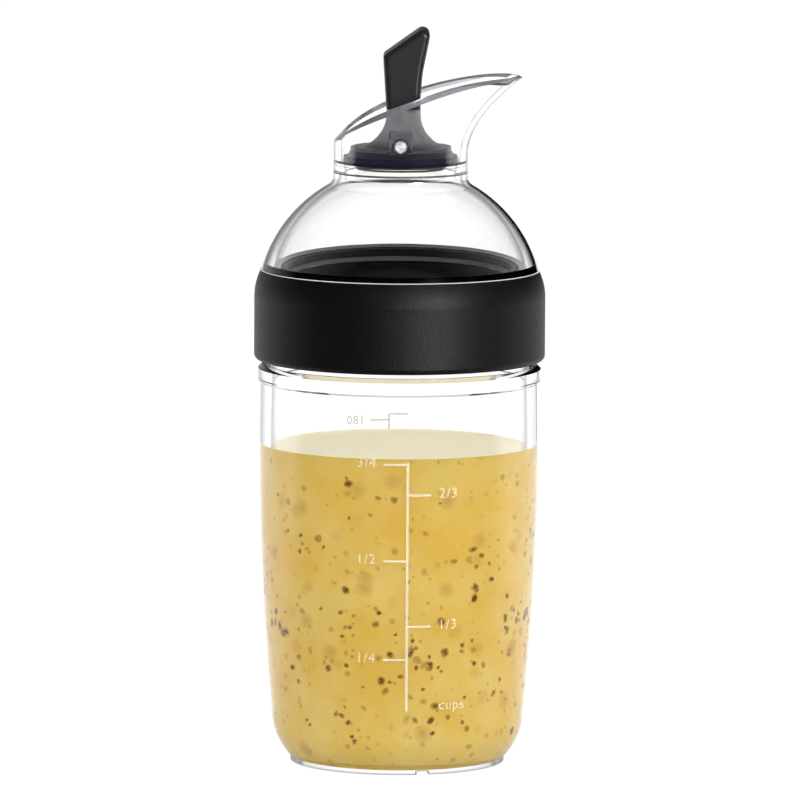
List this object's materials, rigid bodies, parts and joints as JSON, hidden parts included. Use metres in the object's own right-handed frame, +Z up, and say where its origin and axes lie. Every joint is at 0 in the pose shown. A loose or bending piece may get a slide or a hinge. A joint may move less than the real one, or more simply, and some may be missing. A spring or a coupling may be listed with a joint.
{
  "type": "salad dressing shaker",
  "caption": "Clear measuring cup with a screw lid: black grip collar, clear dome and flared pouring spout closed by a rocking stopper with a tilting lever.",
  "frame": {"origin": "centre of the foot ring's face, on the surface that the cup stands on", "axes": "+Z up along the cup's axis, +X towards the pouring lip, -Y towards the front of the scale"},
  "size_m": [0.0676, 0.0676, 0.171],
  "materials": {
    "clear_plastic": "clear, polished, moulded",
    "collar_black": "fine matt texture, moulded",
    "ring_black": "satin, moulded",
    "seal_silicone": "satin, moulded",
    "gasket_silicone": "satin, moulded",
    "stopper_grey": "satin, moulded",
    "grip_black": "satin, moulded",
    "pin_steel": "bright, ground"
  },
  "bodies": {
    "container": {"container": "clear_plastic"},
    "lid_seal": {"lid_seal": "seal_silicone"},
    "lid": {"collar": "collar_black", "thread_ring": "ring_black", "dome_seal": "seal_silicone", "dome": "clear_plastic", "spout_seal": "gasket_silicone", "spout": "clear_plastic", "pivot_pin": "pin_steel"},
    "lever": {"stopper_body": "stopper_grey", "stopper_gasket": "gasket_silicone", "gasket_retainer": "stopper_grey", "lever_grip": "grip_black"}
  },
  "joints": [
    {"name": "lid_rise", "type": "slide", "parent": "container", "child": "lid_seal", "axis": [0, 0, 1], "range_m": [0, 0.016]},
    {"name": "lid_turn", "type": "hinge", "parent": "lid_seal", "child": "lid", "pos_m": [0, 0, 0.104], "axis": [0, 0, 1], "range_deg": [0, 720]},
    {"name": "lever_tilt", "type": "hinge", "parent": "lid", "child": "lever", "pos_m": [0, 0, 0.1447], "axis": [0, -1, 0], "range_deg": [0, 60]}
  ],
  "couplings": [
    {"joint": "lid_rise", "follows": "lid_turn", "m_per_rad": 0.0012732}
  ]
}
